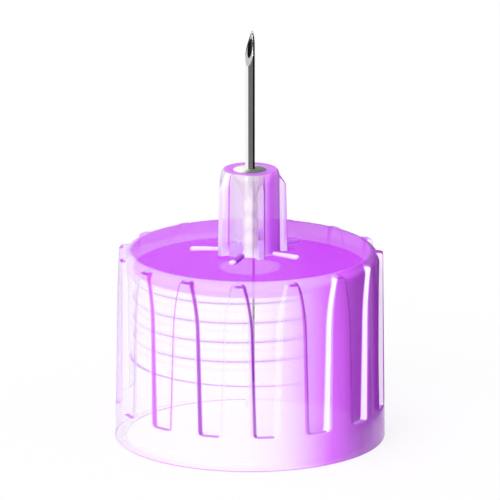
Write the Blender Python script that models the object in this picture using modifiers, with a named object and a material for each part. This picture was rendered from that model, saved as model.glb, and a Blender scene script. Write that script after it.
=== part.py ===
"""A pen needle: a clear moulded hub with a female thread, a ground steel cannula, and the glue that holds it.

The origin is the centre of the hub's open rim, and +Z runs up along the needle. The front is -Y, and every
angle round the axis is measured from the front, positive towards +X.
"""

import math

import bmesh
import bpy
from mathutils import Matrix, Vector

MM = 0.001

# Facets round the axis: the cup and its thread share one count, and the narrow bore and the cannula another.
CUP_STEPS = 60
BORE_STEPS = 20
WELD = 1e-7

# Cup of the hub. The thread has to fit the pen, so its root drives the radii, and the walls build outwards from it.
HUB_HEIGHT = 8.0 * MM
PLATE_THICKNESS = 0.72 * MM
THREAD_ROOT_RADIUS = 4.90 * MM
THREAD_DEPTH = 0.14 * MM
POCKET_WALL = 0.48 * MM
RIB_RISE = 0.17 * MM
RIB_TAPER = 0.10 * MM
EDGE_CHAMFER = 0.06 * MM

# Inside of the cup, from the open rim up: a lead-in that narrows to a step, then the threaded bore.
LEAD_IN_HEIGHT = 3.5 * MM
LEAD_IN_STEP = 0.15 * MM
LEAD_IN_FLARE = 0.10 * MM
THREAD_PITCH = 0.83 * MM
THREAD_RIDGE_ROOT_WIDTH = 0.44 * MM
THREAD_RIDGE_CREST_WIDTH = 0.26 * MM
THREAD_END_SPACE = 0.14 * MM
THREAD_START_ANGLE = 60.0

# Round recess in the underside of the top plate, where the glue ends.
RECESS_RADIUS = 1.25 * MM
RECESS_DEPTH = 0.39 * MM

# Grip ribs and the U-shaped pockets between them. Ribs fan out below their narrow rounded tops.
RIB_COUNT = 15
RIB_ANGLE = -5.3
POCKET_BOTTOM_HEIGHT = 1.45 * MM
POCKET_CORNER_RADIUS = 0.2 * MM
RIB_TIP_WIDTH = 0.5 * MM
RIB_SHOULDER_WIDTH = 1.07 * MM
RIB_FOOT_WIDTH = 1.42 * MM
RIB_FLARE_HEIGHT = 2.2 * MM
RIM_ROUND_RADIUS = 0.46 * MM
RIM_ROUND_DROP = 0.43 * MM
RIB_END_WIDTH = 0.50 * MM
RIB_END_DROP = 0.08 * MM
RIB_END_CHAMFER = 0.10 * MM

# Cannula: a tube with a lancet point above and a short point inside the cup.
CANNULA_RADIUS = 0.20 * MM
CANNULA_WALL = 0.095 * MM
CANNULA_EXPOSED_LENGTH = 5.9 * MM
CANNULA_REAR_HEIGHT = 1.2 * MM
BEVEL_LENGTH = 1.45 * MM
BEVEL_ANGLE = -28.0
LANCET_LENGTH = 0.62 * MM
LANCET_TURN = 38.0
REAR_BEVEL_LENGTH = 0.75 * MM
REAR_BEVEL_ANGLE = 130.0

# Glue well round the cannula: a straight mouth and a cone in the tower's top, then a corrugated bore to the recess.
GLUE_CLEARANCE = 0.01 * MM
GLUE_THICKNESS = 0.08 * MM
BORE_WAVE_DEPTH = 0.06 * MM
BORE_WAVE_PITCH = 0.716 * MM
FIRST_BULGE_DEPTH = 1.657 * MM
WELL_FLARE = 0.42 * MM
WELL_MOUTH_DEPTH = 0.33 * MM
WELL_DEPTH = 1.05 * MM
GLUE_DOME_HEIGHT = 0.08 * MM
GLUE_RIM_DROP = 0.03 * MM

# Needle tower round the well: a flat rim, a rounded shoulder out to the wall, and fins that slope in to the rim.
TOWER_HEIGHT = 3.5 * MM
TOWER_RIM_WIDTH = 0.39 * MM
TOWER_SHOULDER_STEP = 0.15 * MM
TOWER_SHOULDER_HEIGHT = 0.45 * MM
TOWER_TAPER = 0.03 * MM
TOWER_FILLET_RADIUS = 0.12 * MM
FIN_COUNT = 5
FIN_ANGLE = 18.0
FIN_WIDTH = 0.50 * MM
FIN_EDGE_RADIUS = 0.13 * MM
FIN_RISE = 0.26 * MM
FIN_TAPER = 0.07 * MM
FIN_SLOPE_DROP = 0.08 * MM
FIN_SLOPE_HEIGHT = 0.65 * MM

# Low bars that run out from the tower over the plate.
BAR_COUNT = 5
BAR_ANGLE = -18.0
BAR_WIDTH = 0.30 * MM
BAR_HEIGHT = 0.15 * MM
BAR_EDGE_RADIUS = 0.06 * MM
BAR_LENGTH = 1.23 * MM

# How far a joined shape sinks into its neighbour, and how far a cutter runs past what it cuts.
SINK = 0.15 * MM
OVERRUN = 0.3 * MM

THREAD_CREST_RADIUS = THREAD_ROOT_RADIUS - THREAD_DEPTH
LEAD_IN_TOP_RADIUS = THREAD_ROOT_RADIUS + LEAD_IN_STEP
MOUTH_RADIUS = LEAD_IN_TOP_RADIUS + LEAD_IN_FLARE
POCKET_FLOOR_RADIUS = THREAD_ROOT_RADIUS + POCKET_WALL
RIB_TOP_RADIUS = POCKET_FLOOR_RADIUS + RIB_RISE
SKIRT_RADIUS = RIB_TOP_RADIUS + RIB_TAPER
BORE_NECK_RADIUS = CANNULA_RADIUS + GLUE_THICKNESS
BORE_BULGE_RADIUS = BORE_NECK_RADIUS + BORE_WAVE_DEPTH
WELL_MOUTH_RADIUS = BORE_NECK_RADIUS + WELL_FLARE
TOWER_RIM_RADIUS = WELL_MOUTH_RADIUS + TOWER_RIM_WIDTH
TOWER_WALL_RADIUS = TOWER_RIM_RADIUS + TOWER_SHOULDER_STEP
TOWER_FOOT_RADIUS = TOWER_WALL_RADIUS + TOWER_TAPER
FIN_TOP_RADIUS = TOWER_WALL_RADIUS + FIN_RISE
FIN_FOOT_RADIUS = FIN_TOP_RADIUS + FIN_TAPER
BAR_REACH = TOWER_FOOT_RADIUS + BAR_LENGTH
PLATE_UNDERSIDE = HUB_HEIGHT - PLATE_THICKNESS
RECESS_CEILING = PLATE_UNDERSIDE + RECESS_DEPTH
TOWER_TOP = HUB_HEIGHT + TOWER_HEIGHT
CANNULA_TIP = TOWER_TOP + CANNULA_EXPOSED_LENGTH


def clear_scene():
    for obj in list(bpy.data.objects):
        bpy.data.objects.remove(obj, do_unlink=True)


def new_collection(name):
    collection = bpy.data.collections.new(name)
    bpy.context.scene.collection.children.link(collection)
    return collection


def place(name, mesh, collection, helper=False):
    """Links a mesh as a named object. A helper is a shape that only joins or cuts another."""
    obj = bpy.data.objects.new(name, mesh)
    collection.objects.link(obj)
    if helper:
        obj.hide_render = True
        obj.display_type = "WIRE"
    return obj


def plastic_or_metal(name, colour, roughness, metallic=0.0, transmission=0.0):
    material = bpy.data.materials.new(name)
    material.use_nodes = True
    shader = material.node_tree.nodes["Principled BSDF"]
    shader.inputs["Base Color"].default_value = (*colour, 1.0)
    shader.inputs["Roughness"].default_value = roughness
    shader.inputs["Metallic"].default_value = metallic
    shader.inputs["Transmission Weight"].default_value = transmission
    return material


def arc(centre, radius, start, end, steps):
    """Points on an arc in the plane of radius and height, from one angle in degrees to the other."""
    angles = [math.radians(start + (end - start) * step / steps) for step in range(steps + 1)]
    return [(centre[0] + radius * math.cos(a), centre[1] + radius * math.sin(a)) for a in angles]


def turned(name, profile, steps, collection, ring=False, helper=False):
    """A turned shape. The profile runs down its outer side, and a ring's profile closes on itself."""
    mesh = bpy.data.meshes.new(name)
    points = [(radius, 0.0, height) for radius, height in profile]
    edges = [(k, k + 1) for k in range(len(points) - 1)]
    if ring:
        edges.append((len(points) - 1, 0))
    mesh.from_pydata(points, edges, [])
    obj = place(name, mesh, collection, helper)
    screw = obj.modifiers.new("turn", "SCREW")
    screw.axis = "Z"
    screw.steps = steps
    screw.render_steps = steps
    screw.use_merge_vertices = True
    screw.merge_threshold = WELD
    screw.use_normal_calculate = False
    return obj


def sheet(outline, thickness):
    """A mesh cut from a flat outline in the XY plane, with half its thickness above and half below."""
    curve = bpy.data.curves.new("outline", "CURVE")
    curve.dimensions = "2D"
    curve.fill_mode = "BOTH"
    curve.extrude = thickness / 2
    spline = curve.splines.new("POLY")
    spline.points.add(len(outline) - 1)
    for point, (x, y) in zip(spline.points, outline):
        point.co = (x, y, 0.0, 1.0)
    spline.use_cyclic_u = True
    guide = bpy.data.objects.new("outline", curve)
    bpy.context.scene.collection.objects.link(guide)
    graph = bpy.context.evaluated_depsgraph_get()
    mesh = bpy.data.meshes.new_from_object(guide.evaluated_get(graph))
    bpy.data.objects.remove(guide)
    bm = bmesh.new()
    bm.from_mesh(mesh)
    bmesh.ops.remove_doubles(bm, verts=bm.verts, dist=WELD)
    bmesh.ops.recalc_face_normals(bm, faces=bm.faces)
    bm.to_mesh(mesh)
    bm.free()
    return mesh


def round_edges(mesh, radius, chosen):
    """Rounds those edges of a mesh that the given test picks."""
    bm = bmesh.new()
    bm.from_mesh(mesh)
    edges = [edge for edge in bm.edges if edge.calc_face_angle(0.0) > 0.3 and chosen(edge)]
    bmesh.ops.bevel(bm, geom=edges, offset=radius, segments=2, profile=0.5, affect="EDGES")
    bm.to_mesh(mesh)
    bm.free()


def round_the_axis(mesh, count, first_angle):
    """One mesh that holds copies of a shape made at the front, evenly spaced round the axis."""
    bm = bmesh.new()
    for k in range(count):
        turn = Matrix.Rotation(math.radians(first_angle + 360.0 * k / count), 4, "Z")
        copy = mesh.copy()
        copy.transform(turn)
        bm.from_mesh(copy)
        bpy.data.meshes.remove(copy)
    ring = bpy.data.meshes.new(mesh.name)
    bm.to_mesh(ring)
    bm.free()
    return ring


def join(obj, tool):
    boolean = obj.modifiers.new(f"join {tool.name}", "BOOLEAN")
    boolean.operation = "UNION"
    boolean.object = tool


def cut(obj, tool):
    boolean = obj.modifiers.new(f"cut {tool.name}", "BOOLEAN")
    boolean.operation = "DIFFERENCE"
    boolean.object = tool


def shoulder(steps):
    """The rounded step from the tower's flat rim out and down to its wall."""
    points = []
    for step in range(steps + 1):
        turn = math.radians(90.0 * step / steps)
        radius = TOWER_RIM_RADIUS + TOWER_SHOULDER_STEP * math.sin(turn)
        points.append((radius, TOWER_TOP - TOWER_SHOULDER_HEIGHT * (1 - math.cos(turn))))
    return points


def hub_profile():
    """The hub without ribs, fins and bore, as one turned shape from the tower's top to the recess."""
    tower = [(0.0, TOWER_TOP)] + shoulder(3)
    fillet = (TOWER_FOOT_RADIUS + TOWER_FILLET_RADIUS, HUB_HEIGHT + TOWER_FILLET_RADIUS)
    tower += arc(fillet, TOWER_FILLET_RADIUS, 180, 270, 2)
    cup = [
        (RIB_TOP_RADIUS - RIB_END_WIDTH, HUB_HEIGHT),
        (RIB_TOP_RADIUS - RIB_END_CHAMFER, HUB_HEIGHT - RIB_END_DROP),
        (RIB_TOP_RADIUS, HUB_HEIGHT - RIB_END_DROP - RIB_END_CHAMFER),
        (SKIRT_RADIUS, EDGE_CHAMFER),
        (SKIRT_RADIUS - EDGE_CHAMFER, 0.0),
        (MOUTH_RADIUS, 0.0),
        (LEAD_IN_TOP_RADIUS, LEAD_IN_HEIGHT),
        (THREAD_ROOT_RADIUS, LEAD_IN_HEIGHT),
        (THREAD_ROOT_RADIUS, PLATE_UNDERSIDE),
        (RECESS_RADIUS, PLATE_UNDERSIDE),
        (RECESS_RADIUS, RECESS_CEILING),
        (0.0, RECESS_CEILING),
    ]
    return tower + cup


def rib_half_width(depth):
    """Half the width of a rib at a depth below the plate: a straight taper, drawn in to a narrow tip."""
    run = depth / (HUB_HEIGHT - POCKET_BOTTOM_HEIGHT)
    width = RIB_SHOULDER_WIDTH + (RIB_FOOT_WIDTH - RIB_SHOULDER_WIDTH) * run
    if depth < RIB_FLARE_HEIGHT:
        width -= (RIB_SHOULDER_WIDTH - RIB_TIP_WIDTH) * (1 - depth / RIB_FLARE_HEIGHT) ** 2
    return width / 2


def pocket_outline():
    """The U of one pocket, drawn round the foot of the cup at the ribs' mean radius."""
    half_pitch = (RIB_TOP_RADIUS + POCKET_FLOOR_RADIUS) / 2 * math.sin(math.pi / RIB_COUNT)
    flare_steps = 6
    depths = [RIB_FLARE_HEIGHT * k / flare_steps for k in range(flare_steps + 1)]
    side = [(half_pitch - rib_half_width(depth), HUB_HEIGHT - depth) for depth in depths]
    side.insert(0, (side[0][0], HUB_HEIGHT + OVERRUN))
    foot_depth = HUB_HEIGHT - POCKET_BOTTOM_HEIGHT
    corner_x = half_pitch - rib_half_width(foot_depth) - POCKET_CORNER_RADIUS
    corner = (corner_x, POCKET_BOTTOM_HEIGHT + POCKET_CORNER_RADIUS)
    side += arc(corner, POCKET_CORNER_RADIUS, 0, -90, 4)
    return side + [(-x, z) for x, z in reversed(side)]


def make_pockets(helpers):
    """The material that is missing between the ribs: a ring round the pocket floors, kept inside the U outlines."""
    reach = SKIRT_RADIUS + OVERRUN
    bottom = POCKET_BOTTOM_HEIGHT - OVERRUN
    rim = (POCKET_FLOOR_RADIUS - RIM_ROUND_RADIUS, HUB_HEIGHT - RIM_ROUND_DROP)
    profile = [(reach, HUB_HEIGHT + OVERRUN), (reach, bottom), (POCKET_FLOOR_RADIUS, bottom)]
    profile += arc(rim, RIM_ROUND_RADIUS, 0, 90, 4)
    profile.append((rim[0], HUB_HEIGHT + OVERRUN))
    pockets = turned("pockets", profile, CUP_STEPS, helpers, ring=True, helper=True)

    inner = rim[0] - OVERRUN
    outer = reach + OVERRUN
    slab = sheet(pocket_outline(), outer - inner)
    slab.transform(Matrix.Rotation(math.radians(90), 4, "X"))
    slab.transform(Matrix.Translation((0.0, -(inner + outer) / 2, 0.0)))
    first = RIB_ANGLE + 180.0 / RIB_COUNT
    outlines = place("pocket_outlines", round_the_axis(slab, RIB_COUNT, first), helpers, helper=True)
    keep = pockets.modifiers.new("keep inside the outlines", "BOOLEAN")
    keep.operation = "INTERSECT"
    keep.object = outlines
    return pockets


def make_fins(helpers):
    """Five plates that stand out from the tower and slope in to its top."""
    inner = TOWER_RIM_RADIUS - SINK
    outline = [
        (inner, HUB_HEIGHT - SINK),
        (FIN_FOOT_RADIUS, HUB_HEIGHT - SINK),
        (FIN_FOOT_RADIUS, HUB_HEIGHT),
        (FIN_TOP_RADIUS, TOWER_TOP - FIN_SLOPE_HEIGHT),
        (TOWER_RIM_RADIUS, TOWER_TOP - FIN_SLOPE_DROP),
        (inner, TOWER_TOP - 2 * FIN_SLOPE_DROP),
    ]
    fin = sheet(outline, FIN_WIDTH)
    round_edges(fin, FIN_EDGE_RADIUS, lambda edge: outer_long_edge(edge, outline))
    fin.transform(Matrix.Rotation(math.radians(90), 4, "X"))
    fin.transform(Matrix.Rotation(math.radians(-90), 4, "Z"))
    return place("fins", round_the_axis(fin, FIN_COUNT, FIN_ANGLE), helpers, helper=True)


def outer_long_edge(edge, outline):
    """True for the edges down a fin's outer side and along its slope, on both faces of the sheet."""
    run = [Vector(point) for point in outline[1:5]]
    ends = [vertex.co.xy for vertex in edge.verts]
    on_face = abs(edge.verts[0].co.z - edge.verts[1].co.z) < WELD
    return on_face and all(min((end - point).length for point in run) < WELD for end in ends)


def make_bars(helpers):
    """Five low bars with round outer ends, from the tower's foot out over the plate."""
    inner = TOWER_FOOT_RADIUS - SINK
    end = (BAR_REACH - BAR_WIDTH / 2, 0.0)
    outline = [(inner, -BAR_WIDTH / 2)] + arc(end, BAR_WIDTH / 2, -90, 90, 6) + [(inner, BAR_WIDTH / 2)]
    bar = sheet(outline, BAR_HEIGHT + SINK)
    round_edges(bar, BAR_EDGE_RADIUS, lambda edge: all(vertex.co.z > 0 for vertex in edge.verts))
    bar.transform(Matrix.Translation((0.0, 0.0, HUB_HEIGHT + (BAR_HEIGHT - SINK) / 2)))
    bar.transform(Matrix.Rotation(math.radians(-90), 4, "Z"))
    return place("bars", round_the_axis(bar, BAR_COUNT, BAR_ANGLE), helpers, helper=True)


def make_thread(helpers):
    """The right-hand ridge of the female thread: one section swept round and up, with a cut face at each end."""
    half_root = THREAD_RIDGE_ROOT_WIDTH / 2
    half_crest = THREAD_RIDGE_CREST_WIDTH / 2
    sunk_radius = (THREAD_ROOT_RADIUS + POCKET_FLOOR_RADIUS) / 2
    start_height = LEAD_IN_HEIGHT + THREAD_END_SPACE + half_root
    end_height = PLATE_UNDERSIDE - THREAD_END_SPACE - half_root
    steps = int((end_height - start_height) / THREAD_PITCH * CUP_STEPS)
    section = [
        (THREAD_CREST_RADIUS, -half_crest),
        (THREAD_CREST_RADIUS, half_crest),
        (THREAD_ROOT_RADIUS, half_root),
        (sunk_radius, half_root),
        (sunk_radius, -half_root),
        (THREAD_ROOT_RADIUS, -half_root),
    ]
    bm = bmesh.new()
    turn = Matrix.Rotation(math.radians(THREAD_START_ANGLE), 4, "Z")
    corners = [bm.verts.new(turn @ Vector((radius, 0.0, start_height + z))) for radius, z in section]
    face = bm.faces.new(corners)
    bmesh.ops.spin(
        bm,
        geom=[face, *face.edges, *face.verts],
        cent=(0.0, 0.0, 0.0),
        axis=(0.0, 0.0, 1.0),
        dvec=(0.0, 0.0, THREAD_PITCH / CUP_STEPS),
        angle=math.tau * steps / CUP_STEPS,
        steps=steps,
        use_duplicate=False,
    )
    bmesh.ops.recalc_face_normals(bm, faces=bm.faces)
    mesh = bpy.data.meshes.new("thread")
    bm.to_mesh(mesh)
    bm.free()
    return place("thread", mesh, helpers, helper=True)


def well_profile(gap):
    """The wall of the well's mouth, its cone and the corrugated bore from the top down, drawn in by a gap."""
    mouth = WELL_MOUTH_RADIUS - gap
    points = [(mouth, TOWER_TOP), (mouth, TOWER_TOP - WELL_MOUTH_DEPTH)]
    wave_steps = 6
    depth = WELL_DEPTH
    mean = (BORE_BULGE_RADIUS + BORE_NECK_RADIUS) / 2
    swing = (BORE_BULGE_RADIUS - BORE_NECK_RADIUS) / 2
    floor_depth = TOWER_TOP - RECESS_CEILING
    while depth < floor_depth - BORE_WAVE_PITCH / wave_steps / 2:
        wave = math.cos(math.tau * (depth - FIRST_BULGE_DEPTH) / BORE_WAVE_PITCH)
        points.append((mean + swing * wave - gap, TOWER_TOP - depth))
        depth += BORE_WAVE_PITCH / wave_steps
    points.append((points[-1][0], RECESS_CEILING))
    return points


def make_hub(parts, helpers):
    hub = turned("hub", hub_profile(), CUP_STEPS, parts)
    cut(hub, make_pockets(helpers))
    join(hub, make_fins(helpers))
    join(hub, make_bars(helpers))
    join(hub, make_thread(helpers))
    wall = well_profile(0.0)
    above = (wall[0][0], TOWER_TOP + OVERRUN)
    below = (wall[-1][0], RECESS_CEILING - OVERRUN)
    core = [(0.0, above[1]), above, *wall, below, (0.0, below[1])]
    cut(hub, turned("glue_well", core, BORE_STEPS, helpers, helper=True))
    hub.data.materials.append(plastic_or_metal("purple_plastic", (0.55, 0.12, 0.95), 0.12, transmission=0.85))
    return hub


def make_adhesive(parts):
    """The cured glue: it fills the well up to a low dome round the cannula."""
    hole = CANNULA_RADIUS + GLUE_CLEARANCE
    wall = well_profile(GLUE_CLEARANCE)
    rim = (wall[0][0], TOWER_TOP - GLUE_RIM_DROP)
    crown = TOWER_TOP - GLUE_RIM_DROP + GLUE_DOME_HEIGHT
    dome = [(hole, crown)]
    for share in (0.35, 0.7):
        radius = hole + (rim[0] - hole) * share
        dome.append((radius, crown - GLUE_DOME_HEIGHT * share**2))
    profile = dome + [rim] + wall[1:] + [(hole, RECESS_CEILING)]
    glue = turned("adhesive", profile, BORE_STEPS, parts, ring=True)
    glue.data.materials.append(plastic_or_metal("cured_glue", (0.80, 0.82, 0.72), 0.18))
    return glue


def slicer(name, point, lean, facing, away, helpers):
    """A block whose near face is a grinding plane through a point, leaning from the axis and facing one way."""
    size = 3 * BEVEL_LENGTH
    bm = bmesh.new()
    bmesh.ops.create_cube(bm, size=size, matrix=Matrix.Translation((0.0, -size / 2, 0.0)))
    mesh = bpy.data.meshes.new(name)
    bm.to_mesh(mesh)
    bm.free()
    lean_turn = Matrix.Rotation(lean * away, 4, "X")
    face_turn = Matrix.Rotation(math.radians(facing), 4, "Z")
    mesh.transform(Matrix.Translation(point) @ face_turn @ lean_turn)
    return place(name, mesh, helpers, helper=True)


def out_from_axis(radius, angle, height):
    """The point at a radius and an angle from the front."""
    turn = math.radians(angle)
    return Vector((radius * math.sin(turn), -radius * math.cos(turn), height))


def make_cannula(parts, helpers):
    """A drawn tube, ground to a long bevel with two lancet facets above and to a short bevel below."""
    lumen = CANNULA_RADIUS - CANNULA_WALL
    profile = [
        (CANNULA_RADIUS, CANNULA_TIP),
        (CANNULA_RADIUS, CANNULA_REAR_HEIGHT),
        (lumen, CANNULA_REAR_HEIGHT),
        (lumen, CANNULA_TIP),
    ]
    cannula = turned("cannula", profile, BORE_STEPS, parts, ring=True)
    lean = math.atan2(2 * CANNULA_RADIUS, BEVEL_LENGTH)
    tip = out_from_axis(CANNULA_RADIUS, BEVEL_ANGLE + 180.0, CANNULA_TIP)
    cut(cannula, slicer("bevel", tip, lean, BEVEL_ANGLE, -1, helpers))
    for side in (-1, 1):
        facing = BEVEL_ANGLE + side * LANCET_TURN
        steep = math.atan2(CANNULA_RADIUS, LANCET_LENGTH)
        cut(cannula, slicer(f"lancet_{side}", tip, steep, facing, -1, helpers))
    rear = math.atan2(2 * CANNULA_RADIUS, REAR_BEVEL_LENGTH)
    point = out_from_axis(CANNULA_RADIUS, REAR_BEVEL_ANGLE + 180.0, CANNULA_REAR_HEIGHT)
    cut(cannula, slicer("rear_bevel", point, rear, REAR_BEVEL_ANGLE, 1, helpers))
    cannula.data.materials.append(plastic_or_metal("steel", (0.62, 0.62, 0.63), 0.25, metallic=1.0))
    return cannula


clear_scene()
pen_needle = new_collection("pen needle")
shapes = new_collection("shapes that join and cut")
make_hub(pen_needle, shapes)
make_adhesive(pen_needle)
make_cannula(pen_needle, shapes)
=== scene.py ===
"""The looks of a pen needle: a clear purple hub, a steel cannula and the glue between them.

It stands on its open rim. Angles round the axis are measured from the front, -Y, and are positive towards +X.
"""

import math

import bmesh
import bpy
import numpy as np
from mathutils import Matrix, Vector


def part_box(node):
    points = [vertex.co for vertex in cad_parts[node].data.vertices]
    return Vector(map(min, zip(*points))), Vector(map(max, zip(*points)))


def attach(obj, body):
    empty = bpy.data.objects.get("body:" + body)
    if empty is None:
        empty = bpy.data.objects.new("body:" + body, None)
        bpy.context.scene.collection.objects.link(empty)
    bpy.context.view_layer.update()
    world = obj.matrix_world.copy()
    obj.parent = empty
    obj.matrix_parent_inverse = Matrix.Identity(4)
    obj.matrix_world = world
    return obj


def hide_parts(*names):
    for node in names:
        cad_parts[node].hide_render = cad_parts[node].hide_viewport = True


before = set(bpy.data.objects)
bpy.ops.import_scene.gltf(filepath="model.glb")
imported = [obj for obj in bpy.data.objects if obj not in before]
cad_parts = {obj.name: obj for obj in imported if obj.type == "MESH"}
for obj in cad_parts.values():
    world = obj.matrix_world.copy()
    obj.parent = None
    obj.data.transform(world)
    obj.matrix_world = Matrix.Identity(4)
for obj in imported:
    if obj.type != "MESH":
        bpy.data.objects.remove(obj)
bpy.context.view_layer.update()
MM = 0.001

# The view: a long lens a little above the needle.
VIEW_ELEVATION = math.radians(15.2)
VIEW_DISTANCE = 400 * MM
VIEW_WIDTH = 20.85 * MM
VIEW_CENTRE = Vector((0.0, 0.0, 8.0 * MM))
SENSOR_WIDTH = 36.0


def placed(name, data):
    """A new object in the scene."""
    thing = bpy.data.objects.new(name, data)
    bpy.context.scene.collection.objects.link(thing)
    return thing


camera_data = bpy.data.cameras.new("view")
camera_data.sensor_width = SENSOR_WIDTH
camera_data.lens = SENSOR_WIDTH * VIEW_DISTANCE / VIEW_WIDTH
camera_data.clip_start = 10 * MM
camera_data.clip_end = 10.0
camera = placed("view", camera_data)
towards_camera = Vector((0.0, -math.cos(VIEW_ELEVATION), math.sin(VIEW_ELEVATION)))
camera.location = VIEW_CENTRE + towards_camera * VIEW_DISTANCE
camera.rotation_euler = towards_camera.to_track_quat("Z", "Y").to_euler()
bpy.context.scene.camera = camera

# The studio: even light from all round, a wide soft key from the front left and another from above. Camera,
# glossy and see-through rays meet plain white.
ROOM_LIGHT = 0.50
KEY_LIGHT = 0.50
KEY_PLACE = (-25.0, 30.0)
TOP_LIGHT = 0.28
TOP_PLACE = (-30.0, 78.0)
SOFTNESS = 45.0
WHITE = (1.0, 1.0, 1.0, 1.0)
BLACK = (0.0, 0.0, 0.0, 1.0)


def maths(tree, operation, *values):
    """A math node's output. Each value is a number or another node's socket."""
    node = tree.nodes.new("ShaderNodeMath")
    node.operation = operation
    for socket, value in zip(node.inputs, values):
        if isinstance(value, (int, float)):
            socket.default_value = value
        else:
            tree.links.new(value, socket)
    return node.outputs[0]


def any_seen_ray(tree):
    """A socket that is 1 for camera, glossy and see-through rays."""
    path = tree.nodes.new("ShaderNodeLightPath").outputs
    either = maths(tree, "MAXIMUM", path["Is Camera Ray"], path["Is Glossy Ray"])
    return maths(tree, "MAXIMUM", either, path["Is Transmission Ray"])


world = bpy.data.worlds.new("studio")
bpy.context.scene.world = world
world.use_nodes = True
sky = world.node_tree
room = sky.nodes["Background"]
room.inputs["Color"].default_value = WHITE
room.inputs["Strength"].default_value = ROOM_LIGHT
white = sky.nodes.new("ShaderNodeBackground")
white.inputs["Color"].default_value = WHITE
white.inputs["Strength"].default_value = 1.0
backdrop = sky.nodes.new("ShaderNodeMixShader")
sky.links.new(any_seen_ray(sky), backdrop.inputs["Fac"])
sky.links.new(room.outputs[0], backdrop.inputs[1])
sky.links.new(white.outputs[0], backdrop.inputs[2])
sky.links.new(backdrop.outputs[0], sky.nodes["World Output"].inputs["Surface"])


def from_angles(azimuth, elevation):
    """The direction that lies at an angle from the front and at a height above the table."""
    turn = math.radians(azimuth)
    rise = math.radians(elevation)
    return Vector((math.sin(turn) * math.cos(rise), -math.cos(turn) * math.cos(rise), math.sin(rise)))


def soft_light(name, place, level):
    """A wide sun. At level 1 it lights white paper that faces it to plain white."""
    data = bpy.data.lights.new(name, "SUN")
    data.energy = level * math.pi
    data.angle = math.radians(SOFTNESS)
    light = placed(name, data)
    light.rotation_euler = from_angles(*place).to_track_quat("Z", "Y").to_euler()


soft_light("key", KEY_PLACE, KEY_LIGHT)
soft_light("top", TOP_PLACE, TOP_LIGHT)

# Seven cards stand round the needle, and only gloss shows them. The first three give the shaft its bands and
# its dark side, the near one darkens the gloss on the hub's right, and the high ones shade the bevel's faces.
CARD_STEPS = 24
CARD_DISTANCE = 24 * MM
NEAR_DISTANCE = 8 * MM
CARD_FOOT = 0.1 * MM
SHAFT_FOOT = 4.5 * MM
SHAFT_TOP = 13 * MM
POINT_REACH = (15 * MM, 45 * MM)


def mesh_from(builder, name):
    """The mesh that a builder has made."""
    mesh = bpy.data.meshes.new(name)
    builder.to_mesh(mesh)
    builder.free()
    return mesh


def new_paint(name):
    """A material, its tree and its main shader."""
    paint = bpy.data.materials.new(name)
    paint.use_nodes = True
    return paint, paint.node_tree, paint.node_tree.nodes["Principled BSDF"]


def curved_card(name, distance, angles, heights, shade):
    """An upright card on an arc, between two angles and two heights, which only glossy rays see."""
    first, last = angles
    builder = bmesh.new()
    columns = []
    for k in range(CARD_STEPS + 1):
        spot = from_angles(first + (last - first) * k / CARD_STEPS, 0.0) * distance
        columns.append([builder.verts.new((spot.x, spot.y, height)) for height in heights])
    for before, after in zip(columns, columns[1:]):
        builder.faces.new((before[0], after[0], after[1], before[1]))
    card = placed(name, mesh_from(builder, name))
    paint, _, surface = new_paint(name)
    surface.inputs["Base Color"].default_value = BLACK
    surface.inputs["Specular IOR Level"].default_value = 0.0
    surface.inputs["Emission Color"].default_value = WHITE
    surface.inputs["Emission Strength"].default_value = shade
    card.data.materials.append(paint)
    card.visible_camera = False
    card.visible_diffuse = False
    card.visible_transmission = False
    card.visible_shadow = False


curved_card("edge_card", CARD_DISTANCE, (-41.0, -29.0), (SHAFT_FOOT, SHAFT_TOP), 0.04)
curved_card("grey_card", CARD_DISTANCE, (-29.0, 74.0), (SHAFT_FOOT, SHAFT_TOP), 0.16)
curved_card("black_card", CARD_DISTANCE, (74.0, 178.0), (CARD_FOOT, SHAFT_TOP), 0.0)
curved_card("near_card", NEAR_DISTANCE, (60.0, 150.0), (CARD_FOOT, 8 * MM), 0.0)
curved_card("bevel_card", CARD_DISTANCE, (-85.0, -30.0), POINT_REACH, 0.62)
curved_card("point_card", CARD_DISTANCE, (-5.0, 60.0), POINT_REACH, 0.05)
curved_card("side_card", CARD_DISTANCE, (-165.0, -95.0), (14 * MM, 40 * MM), 0.05)

# The table top: pale and plain. It looks white, and keeps a share of the needle's own soft shadow.
TABLE_SIZE = 4.0
SHADOW_SHARE = 0.30

table_builder = bmesh.new()
bmesh.ops.create_grid(table_builder, x_segments=1, y_segments=1, size=TABLE_SIZE / 2)
table = placed("table_top", mesh_from(table_builder, "table_top"))
table_paint, tree, matt = new_paint("pale_table")
matt.inputs["Base Color"].default_value = (0.98, 0.98, 0.98, 1.0)
matt.inputs["Roughness"].default_value = 0.9
matt.inputs["Specular IOR Level"].default_value = 0.0
glow = tree.nodes.new("ShaderNodeEmission")
glow.inputs["Color"].default_value = WHITE
blend = tree.nodes.new("ShaderNodeMixShader")
tree.links.new(maths(tree, "MULTIPLY", any_seen_ray(tree), 1.0 - SHADOW_SHARE), blend.inputs["Fac"])
tree.links.new(matt.outputs[0], blend.inputs[1])
tree.links.new(glow.outputs[0], blend.inputs[2])
tree.links.new(blend.outputs[0], tree.nodes["Material Output"].inputs["Surface"])
table.data.materials.append(table_paint)

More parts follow.
